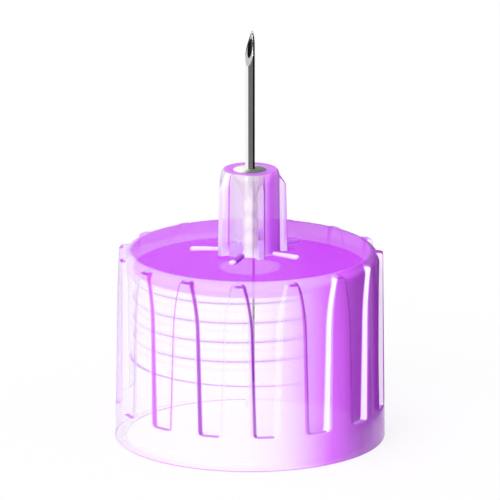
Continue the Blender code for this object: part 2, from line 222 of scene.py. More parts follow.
# The hub: one injection moulding in clear purple plastic. The cup has fifteen grip ribs outside with U-shaped
# pockets between them, and the pen's thread inside. The finned tower on its plate holds the glue well.
hub_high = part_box("hub")[1]
SKIRT_RADIUS = hub_high.x
TOWER_TOP = hub_high.z
HUB_HEIGHT = 8.0 * MM
RIB_TOP_RADIUS = SKIRT_RADIUS - 0.10 * MM
POCKET_FLOOR_RADIUS = RIB_TOP_RADIUS - 0.17 * MM
THREAD_ROOT_RADIUS = POCKET_FLOOR_RADIUS - 0.48 * MM
LEAD_IN_TOP_RADIUS = THREAD_ROOT_RADIUS + 0.15 * MM
MOUTH_RADIUS = LEAD_IN_TOP_RADIUS + 0.10 * MM
LEAD_IN_HEIGHT = 3.5 * MM
PLATE_UNDERSIDE = HUB_HEIGHT - 0.72 * MM
RECESS_RADIUS = 1.25 * MM
RECESS_CEILING = PLATE_UNDERSIDE + 0.39 * MM
EDGE_RADIUS = 0.06 * MM
FINE_EDGE = 0.03 * MM
WELD = 2e-4 * MM
HUB_SHARP_ANGLE = 48.0

RIB_COUNT = 15
RIB_ANGLE = -5.3
WEDGE_STEPS = 20
POCKET_BOTTOM = 1.45 * MM
POCKET_CORNER = 0.2 * MM
FLANK_WIDTH = 0.13 * MM
LEDGE_WIDTH = 0.06 * MM
RIB_TIP_WIDTH = 0.5 * MM
RIB_TIP_ROUND = 0.14 * MM
RIB_SHOULDER_WIDTH = 1.07 * MM
RIB_FOOT_WIDTH = 1.42 * MM
RIB_FLARE = 2.2 * MM
RIM_RADIUS = 0.46 * MM
RIM_DROP = 0.43 * MM
RIB_END_WIDTH = 0.50 * MM
RIB_END_DROP = 0.08 * MM
RIB_END_ROUND = 0.10 * MM


def smooth(share):
    """A soft step from 0 to 1."""
    share = np.clip(share, 0.0, 1.0)
    return share * share * (3 - 2 * share)


def spaced(first, last, steps):
    return list(np.linspace(first, last, steps + 1))


def arc(centre, radius, start, end, steps):
    """Points of radius and height on an arc, from one angle in degrees to the other."""
    angles = np.radians(spaced(start, end, steps))
    return [(centre[0] + radius * math.cos(a), centre[1] + radius * math.sin(a)) for a in angles]


def polar(radius, height, angle):
    """A point at an angle in degrees from the front."""
    turn = math.radians(angle)
    return (radius * math.sin(turn), -radius * math.cos(turn), height)


def ring_of(radius, height, angles):
    return [polar(radius, height, angle) for angle in angles]


def skin(name, rows):
    """A mesh of four-sided faces between rows of points that all hold as many."""
    columns = len(rows[0])
    points = [tuple(point) for row in rows for point in row]
    faces = []
    for r in range(len(rows) - 1):
        for c in range(columns - 1):
            corner = r * columns + c
            faces.append((corner, corner + 1, corner + columns + 1, corner + columns))
    mesh = bpy.data.meshes.new(name)
    mesh.from_pydata(points, [], faces)
    return mesh


def rib_edge(depth):
    """Half the width of a rib at a depth below the plate."""
    run = depth / (HUB_HEIGHT - POCKET_BOTTOM)
    half = (RIB_SHOULDER_WIDTH + (RIB_FOOT_WIDTH - RIB_SHOULDER_WIDTH) * run) / 2
    if depth < RIB_FLARE:
        half -= (RIB_SHOULDER_WIDTH - RIB_TIP_WIDTH) / 2 * (1 - depth / RIB_FLARE) ** 2
    reach_up = RIB_TIP_ROUND - depth
    if reach_up > 0:
        half -= RIB_TIP_ROUND - math.sqrt(RIB_TIP_ROUND**2 - reach_up**2)
    reach_down = POCKET_CORNER - (HUB_HEIGHT - depth - POCKET_BOTTOM)
    if reach_down > 0:
        reach_down = min(reach_down, POCKET_CORNER)
        half += POCKET_CORNER - math.sqrt(POCKET_CORNER**2 - reach_down**2)
    return half


def cup_row(rib_point, pocket_point):
    """One row over a rib and half a pocket to each side. The pocket's surface takes over across the flank."""
    mean = (RIB_TOP_RADIUS + POCKET_FLOOR_RADIUS) / 2
    half_pitch = mean * math.pi / RIB_COUNT
    edge = rib_edge(max(HUB_HEIGHT - rib_point[1] - RIB_END_DROP / 2, 0.0))
    half = FLANK_WIDTH / 2
    near_edge = max(edge - half, FINE_EDGE)
    offsets = [0.0, 0.4 * near_edge, 0.75 * near_edge] + spaced(near_edge, edge + half, 4)
    offsets += [edge + half + 0.05 * MM, (edge + half + half_pitch) / 2, half_pitch]
    ledge = smooth((rib_point[1] - POCKET_BOTTOM) / LEDGE_WIDTH + 0.5)
    right = []
    for offset in offsets:
        floor = smooth((offset - edge) / FLANK_WIDTH + 0.5) * ledge
        radius = rib_point[0] + (pocket_point[0] - rib_point[0]) * floor
        level = rib_point[1] + (pocket_point[1] - rib_point[1]) * floor
        right.append((math.degrees(offset / mean), radius, level))
    row = [(-angle, radius, level) for angle, radius, level in reversed(right[1:])] + right
    return [polar(radius, level, angle) for angle, radius, level in row]


def rib_radius(height):
    return SKIRT_RADIUS + (RIB_TOP_RADIUS - SKIRT_RADIUS) * height / HUB_HEIGHT


# The outer wall runs up from the base edge, over the ribs' ends and the pockets' round rims, onto the plate.
outer_heights = spaced(EDGE_RADIUS, POCKET_BOTTOM - LEDGE_WIDTH, 3)
outer_heights += spaced(POCKET_BOTTOM - LEDGE_WIDTH / 2, POCKET_BOTTOM + LEDGE_WIDTH / 2, 4)
outer_heights += spaced(POCKET_BOTTOM + LEDGE_WIDTH / 2, POCKET_BOTTOM + POCKET_CORNER, 5)[1:]
outer_heights += spaced(POCKET_BOTTOM + POCKET_CORNER, HUB_HEIGHT - RIB_FLARE, 7)[1:]
outer_heights += spaced(HUB_HEIGHT - RIB_FLARE, HUB_HEIGHT - RIM_DROP, 12)[1:]
cup_rows = [cup_row((rib_radius(z), z), (POCKET_FLOOR_RADIUS, z)) for z in outer_heights]

rim_centre = (POCKET_FLOOR_RADIUS - RIM_RADIUS, HUB_HEIGHT - RIM_DROP)
pocket_rim = arc(rim_centre, RIM_RADIUS, 0, math.degrees(math.asin(RIM_DROP / RIM_RADIUS)), 12)
rib_end_height = HUB_HEIGHT - RIB_END_DROP - RIB_END_ROUND
rib_end = [(rib_radius(z), z) for z in spaced(HUB_HEIGHT - RIM_DROP, rib_end_height, 4)]
rib_end += arc((RIB_TOP_RADIUS - RIB_END_ROUND, rib_end_height), RIB_END_ROUND, 0, 80, 4)[1:]
rib_end_start = (RIB_TOP_RADIUS - RIB_END_WIDTH, HUB_HEIGHT)
arc_end = rib_end[-1]
for share in (0.25, 0.5, 0.75, 1.0):
    radius = arc_end[0] + (rib_end_start[0] - arc_end[0]) * share
    rib_end.append((radius, arc_end[1] + (rib_end_start[1] - arc_end[1]) * share))
cup_rows += [cup_row(rib, pocket) for rib, pocket in list(zip(rib_end, pocket_rim))[1:]]
even_angles = spaced(-180.0 / RIB_COUNT, 180.0 / RIB_COUNT, WEDGE_STEPS)
plate_edge = rib_end_start[0] - 0.15 * MM
cup_rows.append(ring_of(plate_edge, HUB_HEIGHT, even_angles))

# The mouth runs from the base edge in and up to the step, and the cup's ceiling has a rounded corner.
edge_angles = [math.degrees(math.atan2(x, -y)) for x, y, z in cup_rows[0]]
foot = arc((SKIRT_RADIUS - EDGE_RADIUS, EDGE_RADIUS), EDGE_RADIUS, -15, -90, 4)
cup_rows = [ring_of(radius, height, edge_angles) for radius, height in reversed(foot)] + cup_rows
mouth = arc((MOUTH_RADIUS + FINE_EDGE, FINE_EDGE), FINE_EDGE, 270, 180, 3)
for share in (0.03, 0.25, 0.5, 0.75, 0.97):
    mouth.append((MOUTH_RADIUS + (LEAD_IN_TOP_RADIUS - MOUTH_RADIUS) * share, LEAD_IN_HEIGHT * share))
mouth += arc((LEAD_IN_TOP_RADIUS - FINE_EDGE, LEAD_IN_HEIGHT - FINE_EDGE), FINE_EDGE, 0, 90, 3)
mouth += arc((THREAD_ROOT_RADIUS + FINE_EDGE, LEAD_IN_HEIGHT + FINE_EDGE), FINE_EDGE, 270, 180, 3)
cup_rows = [ring_of(radius, height, even_angles) for radius, height in reversed(mouth)] + cup_rows
ceiling_corner = (THREAD_ROOT_RADIUS - EDGE_RADIUS, PLATE_UNDERSIDE - EDGE_RADIUS)
ceiling = arc(ceiling_corner, EDGE_RADIUS, 0, 90, 4)
ceiling_edge = THREAD_ROOT_RADIUS - 0.4 * MM
ceiling.append((ceiling_edge, PLATE_UNDERSIDE))


def new_tree(name, sizes):
    """A geometry tree with one geometry input and one named input for each size."""
    tree = bpy.data.node_groups.new(name, "GeometryNodeTree")
    tree.interface.new_socket("Geometry", in_out="INPUT", socket_type="NodeSocketGeometry")
    for label, kind in sizes.items():
        tree.interface.new_socket(label, in_out="INPUT", socket_type=f"NodeSocket{kind}")
    tree.interface.new_socket("Geometry", in_out="OUTPUT", socket_type="NodeSocketGeometry")
    return tree, tree.nodes.new("NodeGroupInput").outputs, tree.nodes.new("NodeGroupOutput").inputs


def through(tree, kind, geometry, **inputs):
    """A geometry passed through a new node, whose other inputs are given by name."""
    node = tree.nodes.new(f"GeometryNode{kind}")
    for label, socket in {"Geometry": geometry, **inputs}.items():
        tree.links.new(socket, node.inputs[label])
    return node.outputs[0]


def copies_round_the_axis():
    """A tree that repeats a wedge evenly round Z, from a first angle, and welds the copies' shared edges."""
    sizes = {"Count": "Int", "First Angle": "Float", "Weld": "Float", "Material": "Material"}
    tree, size, result = new_tree("copies_round_the_axis", sizes)
    new = tree.nodes.new
    link = tree.links.new
    points = new("GeometryNodePoints")
    link(size["Count"], points.inputs["Count"])
    share = maths(tree, "DIVIDE", new("GeometryNodeInputIndex").outputs[0], size["Count"])
    turn = maths(tree, "MULTIPLY_ADD", share, math.tau, size["First Angle"])
    rotation = new("ShaderNodeCombineXYZ")
    link(turn, rotation.inputs["Z"])
    instance = new("GeometryNodeInstanceOnPoints")
    link(points.outputs[0], instance.inputs["Points"])
    link(size["Geometry"], instance.inputs["Instance"])
    link(rotation.outputs[0], instance.inputs["Rotation"])
    realized = through(tree, "RealizeInstances", instance.outputs[0])
    welded = through(tree, "MergeByDistance", realized, Distance=size["Weld"])
    link(through(tree, "SetMaterial", welded, Material=size["Material"]), result["Geometry"])
    return tree


def grown(name, mesh, tree, settings):
    """The plain mesh that a tree makes from a starting mesh."""
    guide = bpy.data.objects.new(name, mesh)
    bpy.context.scene.collection.objects.link(guide)
    modifier = guide.modifiers.new(name, "NODES")
    modifier.node_group = tree
    for item in tree.interface.items_tree:
        if item.in_out == "INPUT" and item.name in settings:
            modifier[item.identifier] = settings[item.name]
    result = bpy.data.meshes.new_from_object(guide.evaluated_get(bpy.context.evaluated_depsgraph_get()))
    result.name = name
    bpy.data.objects.remove(guide)
    return result


# Purple plastic, polished by the mould. The mesh carries how deep its tint is, with painted light and shade
# in it, whether it is thick there, how well it covers what lies behind it and how much it mirrors. Most
# shadow rays pass, as in clear plastic.
LIT_PALE_LILAC = (0.97, 0.945, 0.975, 1.0)
VIVID_PURPLE = (0.72, 0.11, 1.0, 1.0)
SHADED_DEEP_PURPLE = (0.38, 0.04, 0.58, 1.0)
THICK_PURPLE = (0.62, 0.01, 0.93, 1.0)
USUAL_GLOSS = 0.3
SHADE_SHARE = 0.1
FLOW_MARK_SCALE = 700.0
FLOW_MARK_TINT = 0.02
MOULD_POLISH = (0.14, 0.26)
PLASTIC_INDEX = 1.49

plastic, tree, shader = new_paint("purple_plastic")


def mesh_value(tree, name):
    """The socket that reads a value carried by the mesh."""
    node = tree.nodes.new("ShaderNodeAttribute")
    node.attribute_name = name
    return node.outputs["Fac"]


def grain(tree, scale, detail, stretch=(1.0, 1.0, 1.0)):
    """Noise over the object's own coordinates, stretched as asked."""
    place = tree.nodes.new("ShaderNodeTexCoord")
    mapping = tree.nodes.new("ShaderNodeMapping")
    mapping.inputs["Scale"].default_value = stretch
    noise = tree.nodes.new("ShaderNodeTexNoise")
    noise.inputs["Scale"].default_value = scale
    noise.inputs["Detail"].default_value = detail
    tree.links.new(place.outputs["Object"], mapping.inputs["Vector"])
    tree.links.new(mapping.outputs["Vector"], noise.inputs["Vector"])
    return noise.outputs["Fac"]


def between(tree, value, low, high):
    """Spreads a value of 0 to 1 over a range."""
    return maths(tree, "MULTIPLY_ADD", value, high - low, low)


def ramp(tree, value, stops):
    """A colour for a value, through stops of place and colour."""
    node = tree.nodes.new("ShaderNodeValToRGB")
    elements = node.color_ramp.elements
    while len(elements) < len(stops):
        elements.new(0.5)
    for element, (place, colour) in zip(elements, stops):
        element.position = place
        element.color = colour
    tree.links.new(value, node.inputs["Fac"])
    return node.outputs["Color"]


def mixed(tree, share, usual, other):
    """From a socket's colour to another, plain colour."""
    node = tree.nodes.new("ShaderNodeMix")
    node.data_type = "RGBA"
    tree.links.new(share, node.inputs["Factor"])
    tree.links.new(usual, node.inputs["A"])
    node.inputs["B"].default_value = other
    return node.outputs["Result"]


flow_marks = grain(tree, FLOW_MARK_SCALE, 3.0, (1.0, 1.0, 0.3))
flow_tint = between(tree, flow_marks, -FLOW_MARK_TINT, FLOW_MARK_TINT)
tint_and_shade_seen = maths(tree, "ADD", mesh_value(tree, "tint_and_shade"), flow_tint)
# The ramp: pale lilac as painted light, the plastic's own vivid purple, and deep purple as painted shade.
plastic_stops = [(0.0, LIT_PALE_LILAC), (0.5, VIVID_PURPLE), (1.0, SHADED_DEEP_PURPLE)]
colour = mixed(tree, mesh_value(tree, "thick_and_shaded"), ramp(tree, tint_and_shade_seen, plastic_stops), THICK_PURPLE)
tree.links.new(colour, shader.inputs["Base Color"])
in_shadow = tree.nodes.new("ShaderNodeLightPath").outputs["Is Shadow Ray"]
shade = maths(tree, "MULTIPLY_ADD", in_shadow, SHADE_SHARE - 1.0, 1.0)
tree.links.new(maths(tree, "MULTIPLY", mesh_value(tree, "cover"), shade), shader.inputs["Alpha"])
tree.links.new(between(tree, flow_marks, *MOULD_POLISH), shader.inputs["Roughness"])
shader.inputs["Specular IOR Level"].default_value = USUAL_GLOSS
tree.links.new(mesh_value(tree, "gloss"), shader.inputs["Specular IOR Level"])
shader.inputs["IOR"].default_value = PLASTIC_INDEX

copier = copies_round_the_axis()
cup_settings = {"Count": RIB_COUNT, "First Angle": math.radians(RIB_ANGLE), "Weld": WELD, "Material": plastic}
cup = grown("cup", skin("cup_wedge", cup_rows), copier, cup_settings)
ceiling_rows = [ring_of(radius, height, even_angles) for radius, height in ceiling]
ceiling_ring = grown("ceiling", skin("ceiling_wedge", ceiling_rows), copier, cup_settings)

# The female thread: a right-hand ridge with rounded edges in the wall between the step and the ceiling. A
# strip one pitch high, with the ridge's section across it, winds up the wall, and its turns weld together.
THREAD_PITCH = 0.83 * MM
THREAD_DEPTH = 0.14 * MM
THREAD_ROOT_HALF = 0.22 * MM
THREAD_CREST_HALF = 0.13 * MM
THREAD_LOW = LEAD_IN_HEIGHT + 0.36 * MM
THREAD_HIGH = PLATE_UNDERSIDE - 0.36 * MM
THREAD_START = 150.0
THREAD_FADE = 0.04
SPARE_TURNS = 1.5


def thread_section():
    """Points across one pitch: X is the share of the full depth, Z is the height from the ridge's middle."""
    soft = (THREAD_ROOT_HALF - THREAD_CREST_HALF) / 8
    upper = [(1.0, 0.0), (1.0, THREAD_CREST_HALF - soft), (0.88, THREAD_CREST_HALF + soft)]
    upper += [(0.12, THREAD_ROOT_HALF - soft), (0.0, THREAD_ROOT_HALF + soft), (0.0, THREAD_PITCH / 2)]
    points = [(share, 0.0, -height) for share, height in reversed(upper[1:])]
    points += [(share, 0.0, height) for share, height in upper]
    mesh = bpy.data.meshes.new("thread_section")
    mesh.from_pydata(points, [(k, k + 1) for k in range(len(points) - 1)], [])
    return mesh


def threaded_wall():
    """A tree that winds a section up round Z as one ridge in a wall, cut off level at its bottom and top."""
    lengths = ["Root Radius", "Depth", "Pitch", "Low", "Turns"]
    lengths += ["Spare Turns", "Fade", "Start Angle", "Bottom", "Top"]
    sizes = {"Rows": "Int", "Columns": "Int", **dict.fromkeys(lengths, "Float"), "Weld": "Float"}
    tree, size, result = new_tree("threaded_wall", {**sizes, "Material": "Material"})
    new = tree.nodes.new
    link = tree.links.new
    all_turns = maths(tree, "MULTIPLY_ADD", size["Spare Turns"], 2.0, size["Turns"])
    grid = new("GeometryNodeMeshGrid")
    link(maths(tree, "MULTIPLY_ADD", all_turns, size["Columns"], 1.0), grid.inputs["Vertices X"])
    link(size["Rows"], grid.inputs["Vertices Y"])
    index = new("GeometryNodeInputIndex").outputs[0]
    step = maths(tree, "FLOOR", maths(tree, "DIVIDE", maths(tree, "ADD", index, 0.5), size["Rows"]))
    row = maths(tree, "SUBTRACT", index, maths(tree, "MULTIPLY", step, size["Rows"]))
    section = new("GeometryNodeSampleIndex")
    section.data_type = "FLOAT_VECTOR"
    link(size["Geometry"], section.inputs["Geometry"])
    link(new("GeometryNodeInputPosition").outputs[0], section.inputs["Value"])
    link(row, section.inputs["Index"])
    point = new("ShaderNodeSeparateXYZ")
    link(section.outputs["Value"], point.inputs[0])
    turn = maths(tree, "SUBTRACT", maths(tree, "DIVIDE", step, size["Columns"]), size["Spare Turns"])
    starts = maths(tree, "SMOOTH_MIN", maths(tree, "DIVIDE", turn, size["Fade"]), 1.0, 0.3)
    left_over = maths(tree, "SUBTRACT", size["Turns"], turn)
    ends = maths(tree, "SMOOTH_MIN", maths(tree, "DIVIDE", left_over, size["Fade"]), 1.0, 0.3)
    fade = maths(tree, "MAXIMUM", maths(tree, "MINIMUM", starts, ends), 0.0)
    depth = maths(tree, "MULTIPLY", maths(tree, "MULTIPLY", size["Depth"], point.outputs["X"]), fade)
    radius = maths(tree, "SUBTRACT", size["Root Radius"], depth)
    climb = maths(tree, "MULTIPLY_ADD", turn, size["Pitch"], size["Low"])
    rise = maths(tree, "ADD", climb, point.outputs["Z"])
    level = maths(tree, "MINIMUM", maths(tree, "MAXIMUM", rise, size["Bottom"]), size["Top"])
    angle = maths(tree, "MULTIPLY_ADD", turn, math.tau, size["Start Angle"])
    place = new("ShaderNodeCombineXYZ")
    link(maths(tree, "MULTIPLY", radius, maths(tree, "SINE", angle)), place.inputs["X"])
    back = maths(tree, "MULTIPLY", radius, maths(tree, "COSINE", angle))
    link(maths(tree, "MULTIPLY", back, -1.0), place.inputs["Y"])
    link(level, place.inputs["Z"])
    wound = through(tree, "SetPosition", grid.outputs["Mesh"], Position=place.outputs[0])
    welded = through(tree, "MergeByDistance", wound, Distance=size["Weld"])
    realized = through(tree, "RealizeInstances", welded)
    link(through(tree, "SetMaterial", realized, Material=size["Material"]), result["Geometry"])
    return tree


columns_a_turn = RIB_COUNT * WEDGE_STEPS
column_step = 360.0 / columns_a_turn
start_column = round((THREAD_START - RIB_ANGLE) / column_step)
section_mesh = thread_section()
thread_settings = {
    "Rows": len(section_mesh.vertices),
    "Columns": columns_a_turn,
    "Root Radius": THREAD_ROOT_RADIUS,
    "Depth": THREAD_DEPTH,
    "Pitch": THREAD_PITCH,
    "Low": THREAD_LOW,
    "Turns": (THREAD_HIGH - THREAD_LOW) / THREAD_PITCH,
    "Spare Turns": SPARE_TURNS,
    "Fade": THREAD_FADE,
    "Start Angle": math.radians(RIB_ANGLE + start_column * column_step),
    "Bottom": mouth[-1][1],
    "Top": ceiling[0][1],
    "Weld": WELD,
    "Material": plastic,
}
thread_wall = grown("thread_wall", section_mesh, threaded_wall(), thread_settings)

# The tower: its five fins stand out from the wall and slope in to the flat rim. The well is a straight mouth,
# a cone and a corrugated bore that keys the glue.
FIN_COUNT = 5
FIN_ANGLE = 18.0
FIN_STEPS = 60
FIN_HALF_WIDTH = 0.25 * MM
FIN_FLANK = 0.13 * MM
CANNULA_RADIUS = 0.20 * MM
BORE_NECK_RADIUS = CANNULA_RADIUS + 0.08 * MM
BORE_WAVE_DEPTH = 0.06 * MM
BORE_WAVE_PITCH = 0.716 * MM
FIRST_BULGE_DEPTH = 1.657 * MM
WELL_MOUTH_RADIUS = BORE_NECK_RADIUS + 0.42 * MM
WELL_MOUTH_DEPTH = 0.33 * MM
WELL_DEPTH = 1.05 * MM
TOWER_RIM_RADIUS = WELL_MOUTH_RADIUS + 0.39 * MM
SHOULDER_STEP = 0.15 * MM
SHOULDER_HEIGHT = 0.45 * MM
TOWER_WALL_RADIUS = TOWER_RIM_RADIUS + SHOULDER_STEP
TOWER_FOOT_RADIUS = TOWER_WALL_RADIUS + 0.03 * MM
TOWER_FILLET = 0.12 * MM
FIN_TOP_RADIUS = TOWER_WALL_RADIUS + 0.26 * MM
FIN_FOOT_RADIUS = FIN_TOP_RADIUS + 0.07 * MM
FIN_SLOPE = 0.65 * MM
FIN_SLOPE_DROP = 0.08 * MM
FIN_BEND = 0.08 * MM
PLATE_RING = 2.0 * MM


def wall_radius(height):
    """The tower's wall: nearly upright, with a rounded shoulder in to the rim."""
    run = (height - HUB_HEIGHT) / (TOWER_TOP - HUB_HEIGHT)
    radius = TOWER_FOOT_RADIUS + (TOWER_WALL_RADIUS - TOWER_FOOT_RADIUS) * run
    rise = (height - (TOWER_TOP - SHOULDER_HEIGHT)) / SHOULDER_HEIGHT
    if rise > 0:
        radius -= SHOULDER_STEP * (1 - math.sqrt(1 - min(rise, 1.0) ** 2))
    return radius


def fin_radius(height):
    """A fin's outer face: nearly upright, then a slope in to the rim, with a soft bend between the two."""
    run = (height - HUB_HEIGHT) / (TOWER_TOP - FIN_SLOPE - HUB_HEIGHT)
    upright = FIN_FOOT_RADIUS + (FIN_TOP_RADIUS - FIN_FOOT_RADIUS) * run
    rise = (TOWER_TOP - height - FIN_SLOPE_DROP) / (FIN_SLOPE - FIN_SLOPE_DROP)
    slope = TOWER_RIM_RADIUS + (FIN_TOP_RADIUS - TOWER_RIM_RADIUS) * rise
    nearness = max(FIN_BEND - abs(upright - slope), 0.0) / FIN_BEND
    return max(min(upright, slope) - nearness * nearness * FIN_BEND / 4, wall_radius(height))


def tower_row(fin_point, wall_point):
    """One row over a fin and half the wall to each side. The wall takes over across the fin's flank."""
    half = FIN_FLANK / 2
    edge = FIN_HALF_WIDTH - half
    steps = [0.0, 0.4 * (edge - half), 0.75 * (edge - half)] + spaced(edge - half, edge + half, 8)
    right = []
    for across in steps:
        wall = smooth((across - edge) / FIN_FLANK + 0.5)
        round_off = fin_point[0] - (fin_point[0] - wall_point[0]) * 0.3 * (across / FIN_HALF_WIDTH) ** 4
        out = (1 - wall) * round_off + wall * math.sqrt(wall_point[0] ** 2 - across**2)
        level = (1 - wall) * fin_point[1] + wall * wall_point[1]
        right.append((across, -out, level))
    last = math.degrees(math.asin(steps[-1] / wall_point[0]))
    wall_angles = spaced(last, 180.0 / FIN_COUNT, FIN_STEPS // 2 - len(steps) + 1)
    right += ring_of(wall_point[0], wall_point[1], wall_angles[1:])
    return [(-x, y, z) for x, y, z in reversed(right[1:])] + right


foot_wall = arc((TOWER_FOOT_RADIUS + TOWER_FILLET, HUB_HEIGHT + TOWER_FILLET), TOWER_FILLET, 270, 180, 5)
foot_fin = arc((FIN_FOOT_RADIUS + FINE_EDGE, HUB_HEIGHT + FINE_EDGE), FINE_EDGE, 270, 180, 5)
tower_rows = [tower_row(fin, wall) for fin, wall in zip(foot_fin, foot_wall)]
bend_height = TOWER_TOP - FIN_SLOPE
tower_heights = spaced(HUB_HEIGHT + TOWER_FILLET, bend_height - 0.2 * MM, 5)[1:]
tower_heights += spaced(bend_height - 0.2 * MM, TOWER_TOP - 0.2 * MM, 16)[1:]
tower_heights += [TOWER_TOP - SHOULDER_HEIGHT * (1 - math.sin(math.radians(a))) for a in (42, 54, 66, 78, 86)]
tower_rows += [tower_row((fin_radius(z), z), (wall_radius(z), z)) for z in tower_heights]
tower_angles = [math.degrees(math.atan2(x, -y)) for x, y, z in tower_rows[-1]]
tower_rows.insert(0, ring_of(PLATE_RING, HUB_HEIGHT, tower_angles))


def bore_radius(depth):
    """The corrugated bore's radius at a depth below the tower's top."""
    wave = math.cos(math.tau * (depth - FIRST_BULGE_DEPTH) / BORE_WAVE_PITCH)
    return BORE_NECK_RADIUS + BORE_WAVE_DEPTH * (1 + wave) / 2


cone_end = (bore_radius(WELL_DEPTH), TOWER_TOP - WELL_DEPTH)
cone_start = (WELL_MOUTH_RADIUS, TOWER_TOP - WELL_MOUTH_DEPTH)
well_wall = [(WELL_MOUTH_RADIUS, height) for height in spaced(TOWER_TOP - FINE_EDGE, cone_start[1], 3)]
well_wall += list(zip(spaced(cone_start[0], cone_end[0], 6), spaced(cone_start[1], cone_end[1], 6)))[1:-1]
bore_depths = spaced(WELL_DEPTH, TOWER_TOP - RECESS_CEILING, 40)
well_wall += [(bore_radius(depth), TOWER_TOP - depth) for depth in bore_depths]
well = [(TOWER_RIM_RADIUS, TOWER_TOP)]
well += arc((WELL_MOUTH_RADIUS + FINE_EDGE, TOWER_TOP - FINE_EDGE), FINE_EDGE, 90, 180, 3)
well += well_wall[1:]
well += [(0.6 * MM, RECESS_CEILING)]
well += arc((RECESS_RADIUS - FINE_EDGE, RECESS_CEILING - FINE_EDGE), FINE_EDGE, 90, 0, 3)
well += arc((RECESS_RADIUS + FINE_EDGE, PLATE_UNDERSIDE + FINE_EDGE), FINE_EDGE, 180, 270, 3)
well.append((PLATE_RING, PLATE_UNDERSIDE))
tower_rows += [ring_of(radius, height, tower_angles) for radius, height in well]
tower_settings = {**cup_settings, "Count": FIN_COUNT, "First Angle": math.radians(FIN_ANGLE)}
tower = grown("tower", skin("tower_wedge", tower_rows), copier, tower_settings)

# The five low bars on the plate: round-ended and soft on top, each from the tower's foot outwards.
BAR_COUNT = 5
BAR_ANGLE = -18.0
BAR_HALF_WIDTH = 0.15 * MM
BAR_HEIGHT = 0.15 * MM
BAR_START = TOWER_FOOT_RADIUS - 0.08 * MM
BAR_REACH = TOWER_FOOT_RADIUS + 1.23 * MM
BAR_SINK = 0.02 * MM


def bar_outline(inset, height):
    """The bar's outline at a height, drawn in by an inset."""
    radius = BAR_HALF_WIDTH - inset
    sweep = np.radians(spaced(-90, 90, 12))
    end = BAR_REACH - BAR_HALF_WIDTH
    along = spaced(BAR_START, end, 6)[:-1]
    points = [(-radius, -place, height) for place in along]
    points += [(radius * math.sin(a), -end - radius * math.cos(a), height) for a in sweep]
    return points + [(radius, -place, height) for place in reversed(along)]


def bridge(builder, lower, upper):
    """Faces between two closed rings that hold as many points."""
    for k in range(len(lower)):
        after = (k + 1) % len(lower)
        builder.faces.new((lower[k], lower[after], upper[after], upper[k]))


def lofted(name, rings, joined=False):
    """A closed solid over rings of points. Its last ring joins the first, or each end is a flat face."""
    builder = bmesh.new()
    levels = [[builder.verts.new(point) for point in ring] for ring in rings]
    for lower, upper in zip(levels, levels[1:]):
        bridge(builder, lower, upper)
    if joined:
        bridge(builder, levels[-1], levels[0])
    else:
        builder.faces.new(levels[0])
        builder.faces.new(levels[-1])
    bmesh.ops.recalc_face_normals(builder, faces=builder.faces)
    for face in builder.faces:
        face.smooth = True
    return mesh_from(builder, name)


bar_rings = [bar_outline(0.0, HUB_HEIGHT - BAR_SINK)]
for turn in np.radians(spaced(0, 80, 6)):
    inset = BAR_HALF_WIDTH * 0.75 * (1 - math.cos(turn))
    bar_rings.append(bar_outline(inset, HUB_HEIGHT + BAR_HEIGHT * (0.35 + 0.65 * math.sin(turn))))
bar_settings = {**cup_settings, "Count": BAR_COUNT, "First Angle": math.radians(BAR_ANGLE), "Weld": 0.0}
bars = grown("bars", lofted("bar", bar_rings), copier, bar_settings)

# Cup, thread, ceiling and tower become one closed skin. The plate's two sides bridge the cup and the tower.
hub_builder = bmesh.new()
for piece in (cup, ceiling_ring, thread_wall, tower):
    hub_builder.from_mesh(piece)
bmesh.ops.remove_doubles(hub_builder, verts=hub_builder.verts, dist=WELD)
loose_edges = [edge for edge in hub_builder.edges if not edge.link_faces]
bmesh.ops.delete(hub_builder, geom=loose_edges, context="EDGES")


def open_ring(radius, height):
    """The open edge's points at a radius and height, in order round the axis."""
    ring = [vertex for vertex in hub_builder.verts if vertex.is_boundary]
    ring = [vertex for vertex in ring if abs(vertex.co.z - height) < WELD]
    ring = [vertex for vertex in ring if abs(vertex.co.xy.length - radius) < FINE_EDGE]
    return sorted(ring, key=lambda vertex: math.atan2(vertex.co.y, vertex.co.x))


for height, outer in ((HUB_HEIGHT, plate_edge), (PLATE_UNDERSIDE, ceiling_edge)):
    bridge(hub_builder, open_ring(PLATE_RING, height), open_ring(outer, height))
bmesh.ops.recalc_face_normals(hub_builder, faces=hub_builder.faces)
hub_builder.from_mesh(bars)
for face in hub_builder.faces:
    face.material_index = 0
    face.smooth = True
hub_mesh = mesh_from(hub_builder, "hub_moulding")
hub_mesh.materials.append(plastic)
hub_mesh.set_sharp_from_angle(angle=math.radians(HUB_SHARP_ANGLE))

# How deep the tint is, with light and shade painted into it: pale where a face is turned to the front left,
# as painted light, deeper as it turns away, as painted shade, and deep in the thick plate. Edges that turn to
# the right show as painted shade lines.
CUP_PAINTED_LIGHT_SIDE = from_angles(-40.0, 17.5)
TOWER_PAINTED_LIGHT_SIDE = from_angles(-36.0, 17.5)
NO_TINT = 0.76
FULL_TINT = 0.21
DARKEST = -0.08
TOWER_MOST = 1.25
LINE_TINT = 2.0
LINE_FADE = 0.7
LINE_REACH = 0.035 * MM
TIP_LINE_DROP = 0.10 * MM
TIP_LINE_REACH = 0.07 * MM
LEFT_LINE_TINT = 1.7
LEFT_LINE_COVER = 0.7
RIM_START = 4.95 * MM
RIM_LEAN = 0.8
RIM_TINT = 0.40
RIM_COVER = 0.55
FOOT_BAND = 0.18 * MM
FOOT_BAND_TINT = 0.35
FOOT_BAND_COVER = 0.5
FOOT_EDGE = 0.05 * MM
FOOT_EDGE_TINT = 0.9
FOOT_EDGE_COVER = 0.8
WALL_COVER = (0.25, 0.88)
TOWER_COVER = (0.14, 0.85)
TOP_COVER = 0.76
